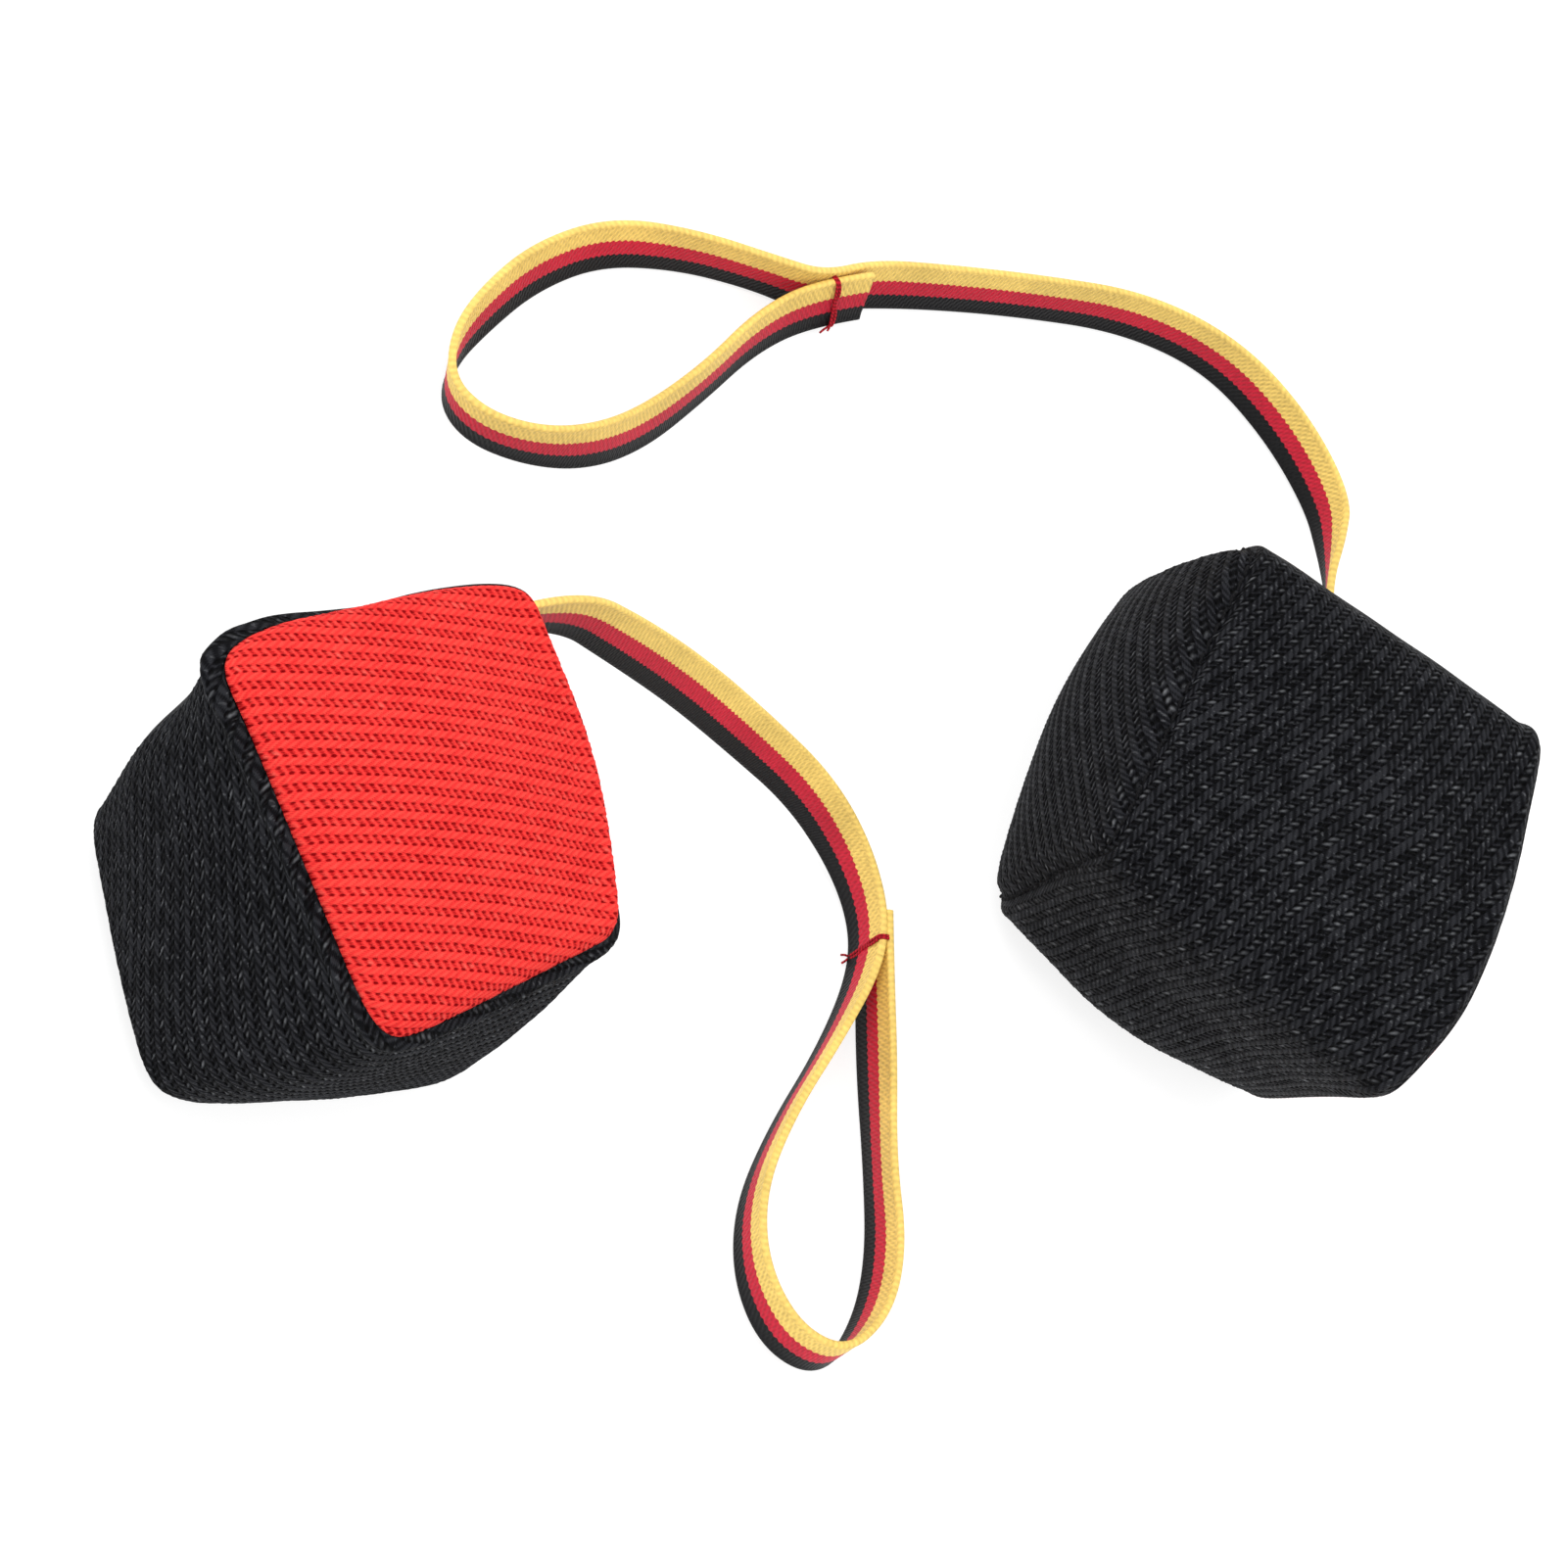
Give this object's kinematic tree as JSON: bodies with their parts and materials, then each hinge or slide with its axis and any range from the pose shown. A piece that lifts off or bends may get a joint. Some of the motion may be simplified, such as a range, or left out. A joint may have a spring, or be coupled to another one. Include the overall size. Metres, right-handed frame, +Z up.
{
  "type": "pair of swing bags",
  "caption": "Pair of soft cube-shaped swing bags (poi) for juggling and dance, each a filled cloth cube on a flat striped ribbon that ends in a hand loop.",
  "frame": {"origin": "on the floor, at the centre of the box round the two bags", "axes": "+X from bag A to bag B, +Z up from the floor they rest on"},
  "size_m": [0.2754, 0.1935, 0.057],
  "materials": {
    "red_cloth": "ribbed weave",
    "black_cloth": "ribbed weave",
    "seam_thread": "matte",
    "ribbon": "woven satin in three lengthwise stripes",
    "tack_thread": "twisted thread",
    "filling": "loose grains"
  },
  "bodies": {
    "bag_a": {"cap_red_a": "red_cloth", "cap_black_a": "black_cloth", "strip_a": "black_cloth", "seam_red_a": "seam_thread", "seam_black_a": "seam_thread", "seam_strip_a": "seam_thread", "filling_a": "filling", "anchor_a": "ribbon"},
    "tether_a": {"tether_a": "ribbon", "ribbon_end_a": "ribbon", "tack_a": "tack_thread"},
    "loop_a": {"loop_a": "ribbon"},
    "bag_b": {"cap_red_b": "red_cloth", "cap_black_b": "black_cloth", "strip_b": "black_cloth", "seam_red_b": "seam_thread", "seam_black_b": "seam_thread", "seam_strip_b": "seam_thread", "filling_b": "filling", "anchor_b": "ribbon"},
    "tether_b": {"tether_b": "ribbon", "ribbon_end_b": "ribbon", "tack_b": "tack_thread"},
    "loop_b": {"loop_b": "ribbon"}
  },
  "joints": [
    {"name": "lift_b", "type": "slide", "parent": "bag_a", "child": "bag_b", "axis": [0, 0, 1], "range_m": [0, 0.3]},
    {"name": "tether_lift_a", "type": "hinge", "parent": "bag_a", "child": "tether_a", "pos_m": [-0.0645, 0.0338, 0.05], "axis": [0.2402, -0.9707, 0], "range_deg": [0, 60]},
    {"name": "loop_fold_a", "type": "hinge", "parent": "tether_a", "child": "loop_a", "pos_m": [0.0202, -0.017, 0.0058], "axis": [-0.9887, 0.1498, 0], "range_deg": [0, 60]},
    {"name": "tether_lift_b", "type": "hinge", "parent": "bag_b", "child": "tether_b", "pos_m": [0.14675, 0.01775, 0.0058], "axis": [0.9798, -0.2, 0], "range_deg": [0, 60]},
    {"name": "loop_fold_b", "type": "hinge", "parent": "tether_b", "child": "loop_b", "pos_m": [0.0335, 0.1007, 0.0058], "axis": [0, 1, 0], "range_deg": [0, 60]}
  ]
}
